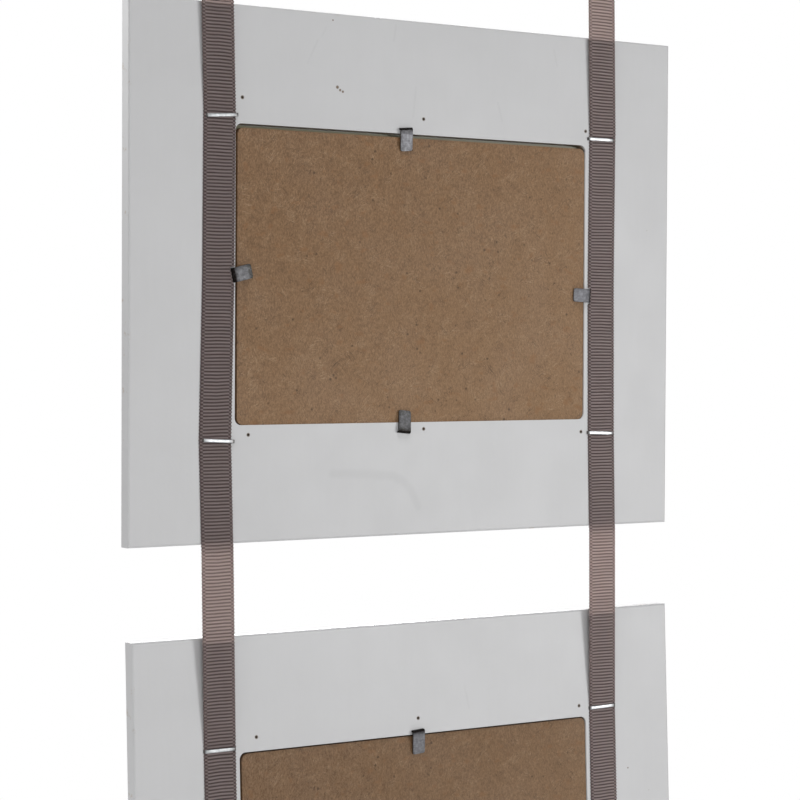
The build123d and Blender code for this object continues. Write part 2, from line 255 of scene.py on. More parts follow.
class Finish:
    """A material in the making: its nodes are added by kind and joined as they come."""

    def __init__(self, name, **sockets):
        self.material = bpy.data.materials.new(name)
        self.material.use_nodes = True
        self.nodes = self.material.node_tree.nodes
        self.links = self.material.node_tree.links
        self.shader = self.nodes["Principled BSDF"]
        for socket, value in sockets.items():
            self.shader.inputs[socket.replace("_", " ")].default_value = value

    def feed(self, socket, value):
        """Join an output to a socket, or set the socket's own value."""
        if isinstance(value, bpy.types.NodeSocket):
            self.links.new(value, socket)
        else:
            socket.default_value = value

    def coordinates(self, place=None):
        """Object coordinates, in a place's own millimetres if one is given."""
        vector = self.nodes.new("ShaderNodeTexCoord").outputs["Object"]
        if place is not None:
            into = self.nodes.new("ShaderNodeMapping")
            into.vector_type = "TEXTURE"
            into.inputs["Location"].default_value = place.translation
            into.inputs["Rotation"].default_value = place.to_euler()
            into.inputs["Scale"].default_value = (MM, MM, MM)
            self.links.new(vector, into.inputs["Vector"])
            vector = into.outputs["Vector"]
        return vector

    def mapped(self, vector, stretch=(1, 1, 1), turn=0.0):
        """Coordinates turned about Y and then stretched along the axes."""
        if turn:
            node = self.nodes.new("ShaderNodeMapping")
            node.inputs["Rotation"].default_value = (0, math.radians(turn), 0)
            self.links.new(vector, node.inputs["Vector"])
            vector = node.outputs["Vector"]
        if tuple(stretch) != (1, 1, 1):
            node = self.nodes.new("ShaderNodeMapping")
            node.inputs["Scale"].default_value = stretch
            self.links.new(vector, node.inputs["Vector"])
            vector = node.outputs["Vector"]
        return vector

    def noise(self, vector, scale, detail=2.0, rough=0.5, warp=0.0):
        node = self.nodes.new("ShaderNodeTexNoise")
        self.links.new(vector, node.inputs["Vector"])
        node.inputs["Scale"].default_value = scale
        node.inputs["Detail"].default_value = detail
        node.inputs["Roughness"].default_value = rough
        node.inputs["Distortion"].default_value = warp
        return node.outputs["Fac"]

    def cells(self, vector, scale):
        node = self.nodes.new("ShaderNodeTexVoronoi")
        self.links.new(vector, node.inputs["Vector"])
        node.inputs["Scale"].default_value = scale
        return node.outputs["Distance"]

    def math(self, operation, a, b=0.0):
        node = self.nodes.new("ShaderNodeMath")
        node.operation = operation
        self.feed(node.inputs[0], a)
        self.feed(node.inputs[1], b)
        return node.outputs[0]

    def span(self, value, low, high, to_low=0.0, to_high=1.0):
        """A value taken from one range to another, clamped, with smooth ends."""
        node = self.nodes.new("ShaderNodeMapRange")
        node.interpolation_type = "SMOOTHSTEP"
        self.feed(node.inputs["Value"], value)
        node.inputs["From Min"].default_value = low
        node.inputs["From Max"].default_value = high
        node.inputs["To Min"].default_value = to_low
        node.inputs["To Max"].default_value = to_high
        return node.outputs["Result"]

    def mix(self, share, a, b):
        node = self.nodes.new("ShaderNodeMix")
        node.data_type = "RGBA"
        self.feed(node.inputs["Factor"], share)
        for socket, colour in ((node.inputs[6], a), (node.inputs[7], b)):
            self.feed(socket, colour if isinstance(colour, bpy.types.NodeSocket) else (*colour, 1))
        return node.outputs[2]

    def parts(self, vector):
        node = self.nodes.new("ShaderNodeSeparateXYZ")
        self.links.new(vector, node.inputs[0])
        return node.outputs

    def attribute(self, name):
        node = self.nodes.new("ShaderNodeAttribute")
        node.attribute_name = name
        return node.outputs["Fac"]

    def near(self, vector, point, inner, outer):
        """1 within the inner distance of a point, 0 past the outer one."""
        return self.span(self.vector("DISTANCE", vector, point, "Value"), inner, outer, 1.0, 0.0)

    def stroke(self, vector, points, inner, outer):
        """1 along a line of points, 0 past the outer distance from it."""
        line = None
        for a, b in zip(points, points[1:]):
            a = Vector(a)
            way = Vector(b) - a
            from_a = self.vector("SUBTRACT", vector, a)
            share = self.math("DIVIDE", self.vector("DOT_PRODUCT", from_a, way, "Value"), way.length_squared)
            share = self.span(share, 0.0, 1.0)
            share.node.interpolation_type = "LINEAR"
            foot = self.nodes.new("ShaderNodeVectorMath")
            foot.operation = "SCALE"
            foot.inputs[0].default_value = way
            self.links.new(share, foot.inputs["Scale"])
            away = self.vector("DISTANCE", from_a, foot.outputs["Vector"], "Value")
            run = self.span(away, inner, outer, 1.0, 0.0)
            line = run if line is None else self.math("MAXIMUM", line, run)
        return line

    def vector(self, operation, a, b, output="Vector"):
        node = self.nodes.new("ShaderNodeVectorMath")
        node.operation = operation
        self.feed(node.inputs[0], a)
        self.feed(node.inputs[1], b)
        return node.outputs[output]

    def bump(self, height, distance, strength=1.0, under=None):
        node = self.nodes.new("ShaderNodeBump")
        self.links.new(height, node.inputs["Height"])
        node.inputs["Distance"].default_value = distance
        node.inputs["Strength"].default_value = strength
        if under is not None:
            self.links.new(under, node.inputs["Normal"])
        return node.outputs["Normal"]

    def colour(self, output):
        self.links.new(output, self.shader.inputs["Base Color"])

    def rough(self, output):
        self.links.new(output, self.shader.inputs["Roughness"])

    def normal(self, output):
        self.links.new(output, self.shader.inputs["Normal"])


LACQUER = (0.5745, 0.5745, 0.5805)
LACQUER_DULL = (0.561, 0.561, 0.566)
LACQUER_RUBBED = (0.515, 0.515, 0.52)
LACQUER_DUST = (0.30, 0.27, 0.23)
LACQUER_CHIP = (0.16, 0.11, 0.07)
FIBREBOARD = (0.36, 0.26, 0.17)
WALL = 0.05

# Hardboard, and how dark each panel's piece is
FELT_DARK = (0.135, 0.070, 0.031)
FELT_PALE = (0.285, 0.168, 0.086)
FELT_BLOTCH = (0.232, 0.134, 0.067)
GRAIN_PALE = (0.345, 0.217, 0.122)
GRAIN_DARK = (0.092, 0.048, 0.022)
CORNER_PALE = (0.40, 0.255, 0.145)
FIBRE_PALE = (0.47, 0.33, 0.21)
SPECK_DARK = (0.055, 0.030, 0.015)
STAIN_RED = (0.250, 0.118, 0.046)
HAIR_DARK = (0.060, 0.032, 0.017)
HARDBOARD_SHADE = {"top": 0.95, "middle": 1.0, "bottom": 0.83}

# Ribbon, steel and card
SLUB = (0.145, 0.112, 0.105)
YARN = (0.105, 0.080, 0.076)
# The colour of soiling on the tabs, also painted as shade towards a bend
SOIL_AND_SHADE = (0.060, 0.058, 0.050)
CARD_FACE_DULL = (0.800, 0.758, 0.705)
CARD_FACE = (0.820, 0.780, 0.730)
# The card's back: painted light towards one end and painted shade towards the other
CARD_BACK_PAINTED_LIGHT = (0.40, 0.40, 0.32)
CARD_BACK_PAINTED_SHADE = (0.25, 0.24, 0.155)
CARD_TOOTH = (0.50, 0.49, 0.43)


def lacquer(name, place, specks=(), scratches=(), smears=(), bare_walls=False):
    """Satin white lacquer on board: clouding, orange peel, specks, scratches, smears and worn arrises."""
    f = Finish(name, IOR=1.5)
    p = f.coordinates(place)
    cloud = f.noise(p, 0.03, 5, 0.6)
    rub = f.noise(p, 0.16, 5, 0.65)
    brush = f.noise(f.mapped(p, (1.0, 1, 0.12)), 0.5, 3)
    tone = f.math("ADD", f.math("MULTIPLY", cloud, 0.8), f.math("MULTIPLY", brush, 0.2))
    colour = f.mix(f.span(tone, 0.35, 0.65), LACQUER_DULL, LACQUER)
    x, y, z = f.parts(p)
    edge_x = f.math("SUBTRACT", PANEL_WIDTH / 2, f.math("ABSOLUTE", x))
    edge_z = f.math("SUBTRACT", PANEL_HEIGHT / 2, f.math("ABSOLUTE", z))
    edge = f.math("MINIMUM", edge_x, edge_z)
    worn = f.math("MULTIPLY", f.span(edge, 0.1, 1.1, 1.0, 0.0), f.span(rub, 0.6, 0.68))
    dust = f.math("LESS_THAN", f.cells(p, 0.045), f.span(f.noise(p, 0.05, 0), 0.45, 0.75, 0.0, 0.012))
    colour = f.mix(f.math("MULTIPLY", dust, 0.35), colour, LACQUER_DUST)
    for line in scratches:
        fine = f.math("MULTIPLY", f.stroke(p, line, 0.1, 0.7), f.span(rub, 0.3, 0.6, 0.1, 0.5))
        colour = f.mix(fine, colour, LACQUER_RUBBED)
    for line in smears:
        soft = f.math("MULTIPLY", f.stroke(p, line, 0.4, 2.6), f.span(rub, 0.2, 0.6, 0.35, 0.65))
        colour = f.mix(soft, colour, LACQUER_RUBBED)
    for point, size in specks:
        ragged = f.math("MULTIPLY", f.near(p, point, size * 0.5, size), f.span(rub, 0.3, 0.5, 0.6, 1.0))
        colour = f.mix(ragged, colour, LACQUER_CHIP)
    colour = f.mix(f.math("MULTIPLY", worn, 0.55), colour, FIBREBOARD)
    if bare_walls:
        across = f.math("LESS_THAN", f.math("ABSOLUTE", x), OPENING_WIDTH / 2 + WALL)
        up = f.math("LESS_THAN", f.math("ABSOLUTE", z), OPENING_HEIGHT / 2 + WALL)
        deep = f.span(y, BOARD_BACK - 1.6, BOARD_BACK - 0.5, 0.9, 0.0)
        colour = f.mix(f.math("MULTIPLY", f.math("MULTIPLY", across, up), deep), colour, FIBREBOARD)
    f.colour(colour)
    f.rough(f.span(f.noise(p, 0.05, 5, 0.6), 0.3, 0.7, 0.41, 0.47))
    peel = f.bump(f.noise(p, 0.8, 3, 0.5), 0.00003, 0.5)
    f.normal(f.bump(cloud, 0.0003, 0.07, peel))
    return f.material


def hardboard(name, place, shade):
    """Smooth brown hardboard: felted fibres, blotches, specks and hairs, paler towards one corner."""
    def shaded(colour):
        return [channel * shade for channel in colour]

    def laid(over, share, strength, colour):
        return f.mix(f.math("MULTIPLY", share, strength), over, shaded(colour))

    f = Finish(name, IOR=1.45)
    f.shader.inputs["Specular IOR Level"].default_value = 0.35
    p = f.coordinates(place)
    x, _, z = f.parts(p)
    blotch = f.noise(p, 0.03, 4, 0.6)
    felt = f.noise(f.mapped(p, (1.3, 1, 0.7)), 1.25, 6, 0.8, 0.5)
    grain = f.noise(f.mapped(p, (1.5, 1, 0.6)), 2.6, 4, 0.75, 0.3)
    colour = f.mix(f.span(felt, 0.36, 0.64), shaded(FELT_DARK), shaded(FELT_PALE))
    colour = laid(colour, f.span(blotch, 0.35, 0.7), 0.25, FELT_BLOTCH)
    colour = laid(colour, f.span(grain, 0.5, 0.66), 0.6, GRAIN_PALE)
    colour = laid(colour, f.span(grain, 0.34, 0.48, 1.0, 0.0), 0.6, GRAIN_DARK)
    lean = f.math("ADD", f.math("DIVIDE", x, OPENING_WIDTH), f.math("DIVIDE", z, OPENING_HEIGHT))
    colour = f.mix(f.span(lean, -0.9, 0.9, 0.24, 0.0), colour, shaded(CORNER_PALE))
    fibres = None
    for turn in (12, 71, 128, 163):
        strand = f.noise(f.mapped(p, (0.16, 1, 2.0), turn), 1.1, 1, 0.5, 0.4)
        ridge = f.span(f.math("ABSOLUTE", f.math("SUBTRACT", strand, 0.5)), 0.0, 0.03, 1.0, 0.0)
        patch = f.span(f.noise(f.mapped(p, (1, 1, 1), turn), 0.11, 2), 0.57, 0.66)
        strand = f.math("MULTIPLY", ridge, patch)
        fibres = strand if fibres is None else f.math("MAXIMUM", fibres, strand)
    colour = laid(colour, fibres, 0.5, FIBRE_PALE)
    speck = f.span(f.cells(p, 0.22), 0.05, 0.16, 1.0, 0.0)
    speck = f.math("MULTIPLY", speck, f.span(f.noise(p, 0.31, 1), 0.46, 0.54))
    colour = laid(colour, speck, 0.75, SPECK_DARK)
    stain = f.span(f.noise(f.mapped(p, (0.8, 1, 1.2)), 0.3, 2, 0.5), 0.6, 0.72)
    colour = laid(colour, stain, 0.4, STAIN_RED)
    for turn in (48, 141):
        hair = f.noise(f.mapped(p, (0.25, 1, 1.6), turn), 0.9, 1, 0.5, 0.8)
        hair = f.span(f.math("ABSOLUTE", f.math("SUBTRACT", hair, 0.5)), 0.0, 0.022, 1.0, 0.0)
        hair = f.math("MULTIPLY", hair, f.span(f.noise(f.mapped(p, (1, 1, 1), turn), 0.2, 1), 0.57, 0.64))
        colour = laid(colour, hair, 0.8, HAIR_DARK)
    f.colour(colour)
    f.rough(f.span(blotch, 0.3, 0.7, 0.52, 0.68))
    fine = f.bump(f.noise(p, 3.0, 4, 0.6), 0.00004, 0.5)
    f.normal(f.bump(f.math("ADD", felt, f.math("MULTIPLY", fibres, 0.4)), 0.00010, 0.6, fine))
    return f.material


def grosgrain(name, groove, crest):
    """Taupe grosgrain: pale ribs, painted shade in the grooves and fine warp yarns across them."""
    f = Finish(name, IOR=1.45, Roughness=0.66)
    f.shader.inputs["Subsurface Weight"].default_value = 1.0
    f.shader.inputs["Subsurface Radius"].default_value = (1.0, 0.92, 0.88)
    f.shader.inputs["Subsurface Scale"].default_value = 0.00162
    f.shader.inputs["Specular IOR Level"].default_value = 0.3
    f.shader.inputs["Sheen Weight"].default_value = 0.08
    f.shader.inputs["Sheen Roughness"].default_value = 0.45
    f.shader.inputs["Sheen Tint"].default_value = (0.80, 0.72, 0.70, 1)
    p = f.coordinates()
    rib = f.attribute("rib")
    slub = f.noise(f.mapped(p, (60, 60, 420)), 1.0, 3, 0.6)
    yarn = f.nodes.new("ShaderNodeTexWave")
    yarn.wave_type = "BANDS"
    yarn.bands_direction = "X"
    f.links.new(p, yarn.inputs["Vector"])
    yarn.inputs["Scale"].default_value = 620.0
    yarn.inputs["Distortion"].default_value = 1.5
    yarn.inputs["Detail"].default_value = 2.0
    yarn.inputs["Detail Scale"].default_value = 0.4
    # Painted shade: the groove colour darkens the ribbon where the weave lies low
    colour = f.mix(f.span(rib, 0.10, 0.90), groove, crest)
    colour = f.mix(f.math("MULTIPLY", f.span(slub, 0.4, 0.7), 0.25), colour, SLUB)
    colour = f.mix(f.math("MULTIPLY", yarn.outputs["Fac"], 0.14), colour, YARN)
    f.colour(colour)
    f.normal(f.bump(yarn.outputs["Fac"], 0.00004, 0.5, f.bump(slub, 0.00005, 0.4)))
    return f.material


def steel(name, pale, dark, rough, scratch=(30, 30, 900)):
    """Plain steel: cloudy zinc bloom, fine scratches and uneven shine."""
    f = Finish(name, Metallic=1.0)
    p = f.coordinates()
    bloom = f.noise(p, 900.0, 4, 0.6)
    lines = f.noise(f.mapped(p, scratch), 8.0, 3, 0.6)
    tone = f.math("ADD", f.math("MULTIPLY", bloom, 0.65), f.math("MULTIPLY", lines, 0.35))
    f.colour(f.mix(f.span(tone, 0.32, 0.68), dark, pale))
    f.rough(f.span(tone, 0.3, 0.7, rough + 0.1, rough - 0.06))
    f.normal(f.bump(tone, 0.00003, 0.5))
    return f


def bent_steel(name, pale, dark, rough, scale, scratch=(30, 30, 900)):
    """Steel with painted shade on its bends and cut edges, and soiled handled ends, whose soiling layer also
    carries painted shade.
    """
    f = steel(name, pale, dark, rough, scratch)
    bright = f.shader.inputs["Base Color"].links[0].from_socket
    shade_breakup = f.noise(f.coordinates(), 2500.0, 3, 0.6)
    patchy = f.noise(f.coordinates(), 1400.0, 3, 0.6)
    # Soiling, and painted shade where the soiling layer holds it
    film = f.math("MULTIPLY", f.attribute("soil"), f.span(patchy, 0.3, 0.65, 0.4, 1.0))
    # Painted shade: the scale attribute marks bends and cut edges, and the scale colour is the shade painted
    # there
    share = f.math("MULTIPLY", f.attribute("scale"), f.span(shade_breakup, 0.2, 0.6, 0.75, 1.0))
    f.colour(f.mix(share, f.mix(film, bright, SOIL_AND_SHADE), scale))
    return f


def window_glass():
    """Clear float glass, green through its edge."""
    f = Finish("window_glass", Roughness=0.015, IOR=1.52)
    f.shader.inputs["Base Color"].default_value = (0.965, 0.98, 0.972, 1)
    f.shader.inputs["Transmission Weight"].default_value = 1.0
    depth = f.nodes.new("ShaderNodeVolumeAbsorption")
    depth.inputs["Color"].default_value = (0.42, 0.62, 0.50, 1)
    depth.inputs["Density"].default_value = 30.0
    f.links.new(depth.outputs["Volume"], f.nodes["Material Output"].inputs["Volume"])
    ripple = f.noise(f.coordinates(), 25.0, 2)
    f.normal(f.bump(ripple, 0.00004, 0.15))
    clear = f.nodes.new("ShaderNodeBsdfTransparent")
    clear.inputs["Color"].default_value = (0.97, 0.98, 0.975, 1)
    lit_through = f.nodes.new("ShaderNodeMixShader")
    path = f.nodes.new("ShaderNodeLightPath").outputs
    f.links.new(f.math("MAXIMUM", path["Is Shadow Ray"], path["Is Diffuse Ray"]), lit_through.inputs["Fac"])
    f.links.new(f.shader.outputs["BSDF"], lit_through.inputs[1])
    f.links.new(clear.outputs["BSDF"], lit_through.inputs[2])
    f.links.new(lit_through.outputs["Shader"], f.nodes["Material Output"].inputs["Surface"])
    return f.material


def blank_card(name, place):
    """Blank photo card: a warm white face with a soft tooth, and a grey-green back painted lighter at one end
    and shaded towards the other.
    """
    f = Finish(name, Roughness=0.62, IOR=1.45)
    p = f.coordinates(place)
    x, y, _ = f.parts(p)
    cloud = f.noise(p, 0.04, 4, 0.6)
    tooth = f.noise(p, 2.2, 3, 0.6)
    face = f.mix(f.span(cloud, 0.35, 0.65), CARD_FACE_DULL, CARD_FACE)
    # Painted light and shade on the back, seen in the gap above the hardboard: lighter towards -X, shaded
    # towards +X
    lit_to_shaded = f.math("ADD", x, f.math("MULTIPLY", cloud, 40.0))
    back = f.mix(f.span(lit_to_shaded, -70.0, 100.0), CARD_BACK_PAINTED_LIGHT, CARD_BACK_PAINTED_SHADE)
    colour = f.mix(f.span(y, CARD_BACK - 0.3, CARD_BACK - 0.1), face, back)
    f.colour(f.mix(f.math("MULTIPLY", f.span(tooth, 0.5, 0.8), 0.2), colour, CARD_TOOTH))
    f.normal(f.bump(tooth, 0.00003, 0.5))
    return f.material


def card_piece(panel, material):
    """A blank card that lies loose between the glass and the hardboard."""
    half = Vector((OPENING_WIDTH / 2 - CARD_SIDE_CLEARANCE, (OPENING_HEIGHT - CARD_TOP_CLEARANCE) / 2))
    bm = bmesh.new()
    bmesh.ops.create_grid(bm, x_segments=1, y_segments=1, size=1)
    for v in bm.verts:
        v.co = Vector((v.co.x * half.x, CARD_BACK - CARD_PLAY, v.co.y * half.y - CARD_TOP_CLEARANCE / 2))
    bmesh.ops.bevel(bm, geom=bm.verts[:], offset=CORNER_RADIUS, offset_type="OFFSET",
                    segments=CORNER_STEPS, profile=0.5, affect="VERTICES", material=-1)
    if bm.faces[:][0].normal.y < 0:
        bmesh.ops.reverse_faces(bm, faces=bm.faces[:])
    bmesh.ops.solidify(bm, geom=bm.faces[:], thickness=CARD_BACK - GLASS_BACK - 2 * CARD_PLAY)
    piece = shown(f"{panel}_panel_blank_card", bm, PLACES[panel], material)
    piece.data.polygons.foreach_set("use_smooth", [False] * len(piece.data.polygons))
    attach(piece, f"{panel}_panel")
    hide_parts(f"{panel}_panel_photo_card")


def studio_floor():
    """Matt white paper."""
    f = Finish("studio_floor", Roughness=0.85)
    cloud = f.noise(f.coordinates(), 1.5, 3)
    f.colour(f.mix(cloud, (0.90, 0.90, 0.90), (0.93, 0.93, 0.93)))
    f.shader.inputs["Emission Color"].default_value = (1, 1, 1, 1)
    f.shader.inputs["Emission Strength"].default_value = 0.05
    return f.material


def shown(name, bm, place, material):
    """Turn a drawn shape into a shown piece, in metres, with smooth faces."""
    bm.transform(place)
    bmesh.ops.recalc_face_normals(bm, faces=bm.faces[:])
    mesh = bpy.data.meshes.new(name)
    bm.to_mesh(mesh)
    bm.free()
    mesh.polygons.foreach_set("use_smooth", [True] * len(mesh.polygons))
    mesh.materials.append(material)
    piece = bpy.data.objects.new(name, mesh)
    bpy.context.scene.collection.objects.link(piece)
    return piece


def paint(node, material):
    """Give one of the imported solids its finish."""
    mesh = frame["nodes"][node].data
    mesh.materials.clear()
    mesh.materials.append(material)


# How far each ribbon strays from its straight line, as it was laid and stapled by eye
RIBBON_STRAY = {
    "right": {"hem": 0.0, "top": 0.0, "top_end": 1.65, "middle": -1.03, "waist": -0.72, "staple": 0.43,
              "middle_end": -0.59, "bottom": 0.51, "tail": 0.3},
    "left": {"hem": 0.0, "top": 0.0, "top_end": 2.0, "middle": -0.63, "waist": -0.34, "staple": -0.9,
             "middle_end": -1.78, "bottom": -0.55, "tail": -0.23},
}
# Where a run of ribbon starts and ends, from the hem down: the middle panel's run has places of its own
RUN_ENDS = (
    ("hem", "top"), ("top", "top_end"), ("top_end", "middle"), None,
    ("middle_end", "bottom"), ("bottom", "tail"),
)
# Columns of points across half a ribbon, as shares of it
SELVEDGE_COLUMNS = (0.68, 0.74, 0.785, 0.82, 0.87, 0.92, 0.965, 1.0)
COLUMNS = (0.0, 0.35) + SELVEDGE_COLUMNS
HEM_COLUMNS = (0.0, 0.08, 0.16, 0.24, 0.32, 0.4, 0.46, 0.52, 0.58) + SELVEDGE_COLUMNS


def strayed(stray, above, below, t):
    """How far the ribbon strays at a share of the way between two places."""
    return stray[above] + (stray[below] - stray[above]) * min(max(t, 0.0), 1.0)


class Stretch:
    """A straight run of ribbon on one body: its frame, and its heights from upper to lower end."""

    def __init__(self, body, place, top, bottom, depth, drift=0.0):
        self.body = body
        self.place = place
        self.top = top
        self.bottom = bottom
        self.depth = depth
        self.drift = drift
        self.length = top - bottom


def ribbon_stretches():
    """The runs of a ribbon from its hem down to its tail."""
    run = [Stretch("hanger", PLACES["hanger"], HEM_TOP - HEM_GAP, -(HANG_DROP + UPPER_BEND_DROP), 0.0)]
    tail = BOTTOM_STAPLE_Z - RIBBON_TAIL
    ends = {"top": LOWER_BEND_Z, "middle": LOWER_BEND_Z, "bottom": tail}
    for panel, link in zip(PANELS, ("upper_link", "lower_link", None)):
        run.append(Stretch(f"{panel}_panel", PLACES[panel], UPPER_BEND_Z, ends[panel], RIBBON_ON_BOARD))
        if link:
            drift = HANG_SHIFT["bottom"] if link == "lower_link" else 0.0
            run.append(Stretch(link, PLACES[link], 0.0, -LINK_LENGTH, 0.0, drift))
    return run


def stray_at(side, index, z, stretch):
    """How far the ribbon's middle lies from its straight line at a height of one of its runs."""
    stray = RIBBON_STRAY[side]
    if RUN_ENDS[index]:
        return strayed(stray, *RUN_ENDS[index], (stretch.top - z) / stretch.length)
    if z > 0:
        return strayed(stray, "middle", "waist", (UPPER_BEND_Z - z) / UPPER_BEND_Z)
    if z > BOTTOM_STAPLE_Z:
        return strayed(stray, "waist", "staple", z / BOTTOM_STAPLE_Z)
    below_staple = (BOTTOM_STAPLE_Z - z) / (BOTTOM_STAPLE_Z - LOWER_BEND_Z)
    return strayed(stray, "staple", "middle_end", below_staple)


def rib_height(along, across, seed):
    """How high the weave stands, from 0 in a groove to 1 on a rib, and how far the edge's loops stand out."""
    out = abs(across)
    waver = LONG_WAVER * noise.noise((across * 0.16, along * 0.05, seed))
    waver += SHORT_WAVER * noise.noise((across * 0.5, along * 0.4, seed))
    phase = math.tau * (along / RIB_PITCH + waver)
    rib = (0.5 - 0.5 * math.cos(phase)) ** RIB_FULLNESS
    loop = 0.5 + 0.5 * math.cos(phase)
    selvedge = smooth((out - SELVEDGE) / SELVEDGE_FADE)
    outer = smooth((out - SELVEDGE_CORD) / SELVEDGE_CORD_FADE)
    woven = SELVEDGE_LOW + SELVEDGE_LOOP * loop - SELVEDGE_CORD_LOW * outer * loop
    return rib + (woven - rib) * selvedge, loop


def tab_dent(side, panel, z, edge_x):
    """How far a side tab's leg presses the ribbon's inner edge aside."""
    along, outside, _, turn = TAB_MARKS[panel][side]
    lean = math.tan(math.radians(turn)) * (z - along)
    leg = OPENING_WIDTH / 2 + outside + TAB_THICKNESS / 2 + DENT_GAP + SIDES[side] * lean
    return max(0.0, leg - edge_x) * (1 - smooth((abs(z - along) - TAB_WIDTH / 2) / DENT_FADE))


def ribbon_piece(side, index, material):
    """A length of ribbon from the middle of one run, over the bend, to the middle of the next."""
    run = ribbon_stretches()
    upper, lower = run[index], run[index + 1]
    start = upper.top if index == 0 else (upper.top + upper.bottom) / 2
    last = index + 2 == len(run)
    end = lower.bottom if last else (lower.top + lower.bottom) / 2
    before = sum(r.length for r in run[:index]) + upper.top - start
    hem = HEM_TOP - HEM_GAP + HEM_DROP if index == 0 else 0.0
    fold = math.pi * HEM_GAP / 2 if index == 0 else 0.0
    length = hem + fold + (start - upper.bottom) + (lower.top - end)
    rows = round(length / RIB_PITCH * RIB_ROWS)
    half_row = HEM_COLUMNS if hem else COLUMNS
    across = [-c for c in half_row[:0:-1]] + list(half_row)
    columns = len(across) - 1
    sign = SIDES[side]
    bm = bmesh.new()
    bmesh.ops.create_grid(bm, x_segments=columns, y_segments=rows, size=1)
    rib = bm.verts.layers.float.new("rib")
    cut = []
    for v in bm.verts:
        u = across[round((v.co.x + 1) / 2 * columns)] * RIBBON_HALF
        s = (1 - v.co.y) / 2 * length - (hem + fold)
        height, loop = rib_height(before + s, u, WAVER_SEED * sign)
        v[rib] = height
        lift = RIBBON_FACE - RIB_DEPTH * (1 - height)
        lift -= SELVEDGE_DROP * smooth((abs(u) / RIBBON_HALF - SELVEDGE_TURN) / SELVEDGE_TURN_FADE)
        if hem:
            from_fold = max(0.0, s, -fold - s)
            lift -= (lift - FOLD_FACE) * smooth(1 - from_fold / FOLD_FADE)
        normal = Vector((0, 1, 0))
        stretch, number = upper, index
        if s < -fold:
            turn = math.pi
            z = upper.top + s + fold
        elif s < 0:
            turn = -s / fold * math.pi
            z = upper.top
        else:
            turn = 0.0
            z = start - s
        if z < upper.bottom:
            stretch, number = lower, index + 1
            z = lower.top - (upper.bottom - z)
        middle = Vector((0, stretch.depth, z))
        if turn:
            normal = Vector((0, math.cos(turn), -math.sin(turn)))
            middle += Vector((0, HEM_GAP / 2 * (1 - math.cos(turn)), HEM_GAP / 2 * math.sin(turn)))
        panel = stretch.body.split("_")[0]
        on_panel = stretch.body.endswith("panel")
        if on_panel:
            for staple in (TOP_STAPLE_Z, BOTTOM_STAPLE_Z):
                press = math.exp(-(((z - staple) / PRESS_LENGTH) ** 2))
                if lift > 0:
                    lift -= (lift + RIBBON_ON_BOARD - PRESSED_FACE) * PRESS_SHARE * press
        share = (stretch.top - z) / stretch.length
        x = sign * RIBBON_X + stretch.drift * share + stray_at(side, number, z, stretch)
        x += u + math.copysign(LOOP_REACH, u) * (loop - 0.5) * smooth(abs(u) - LOOP_START)
        if on_panel:
            edge_x = RIBBON_X + sign * (x - u - sign * RIBBON_X) - RIBBON_HALF
            dent = tab_dent(side, panel, z, edge_x)
            if dent:
                x += sign * dent * max(0.0, 1 - (sign * x - edge_x) / (DENT_SPREAD * dent)) ** 2
        point = middle + normal * lift
        point.x = x
        in_eyelet = math.hypot(x - sign * RIBBON_X, z) < EYELET_CUT
        if hem and abs(s) < HEM_REACH and in_eyelet and not 0 < turn < math.pi:
            cut.append(v)
        v.co = stretch.place @ point
    bmesh.ops.delete(bm, geom=cut, context="VERTS")
    bmesh.ops.recalc_face_normals(bm, faces=bm.faces[:])
    facing = sum(f.normal.y * f.calc_area() for f in bm.faces if f.calc_center_median().z < BELOW_HEM)
    if facing < 0:
        bmesh.ops.reverse_faces(bm, faces=bm.faces[:])
    bmesh.ops.solidify(bm, geom=bm.faces[:], thickness=RIBBON_THICKNESS * MM)
    piece = shown(f"{side}_ribbon_{index + 1}", bm, Matrix.Identity(4), material)
    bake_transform(piece)
    run_name = "hanging" if index == 0 else upper.body
    nodes = [f"{run_name}_{side}_ribbon"]
    if last:
        nodes.append(f"{lower.body}_{side}_ribbon")
    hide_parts(*nodes)


def strip(path, width, thickness, bevel, half_at=None):
    """A bent metal strip along a path of (point, normal), square to X, with eased edges."""
    bm = bmesh.new()
    rows = len(path) - 1
    bmesh.ops.create_grid(bm, x_segments=STRIP_COLUMNS, y_segments=rows, size=1)
    for v in bm.verts:
        row = round((1 - v.co.y) / 2 * rows)
        point, normal = path[row]
        half = half_at[row] if half_at else width / 2
        v.co = Vector((v.co.x * half, *point)) + Vector((0, *normal)) * thickness / 2
    bmesh.ops.recalc_face_normals(bm, faces=bm.faces[:])
    middle = bm.faces[len(bm.faces) // 2]
    row_normal = Vector((0, *path[rows // 2][1]))
    if middle.normal.dot(row_normal) < 0:
        bmesh.ops.reverse_faces(bm, faces=bm.faces[:])
    bmesh.ops.solidify(bm, geom=bm.faces[:], thickness=thickness)
    bmesh.ops.recalc_face_normals(bm, faces=bm.faces[:])
    sharp = [e for e in bm.edges if len(e.link_faces) == 2 and e.calc_face_angle() > SHARP_ANGLE]
    bmesh.ops.bevel(bm, geom=sharp, offset=bevel, offset_type="OFFSET", segments=2, profile=0.5,
                    affect="EDGES", material=-1, clamp_overlap=True)
    return bm


def tab_slope(reach):
    """The angle at which a tab slopes down from its bend to the hardboard."""
    half = TAB_THICKNESS / 2
    return math.asin(TAB_TIP_DROP / math.hypot(reach, half)) - math.atan2(half, reach)


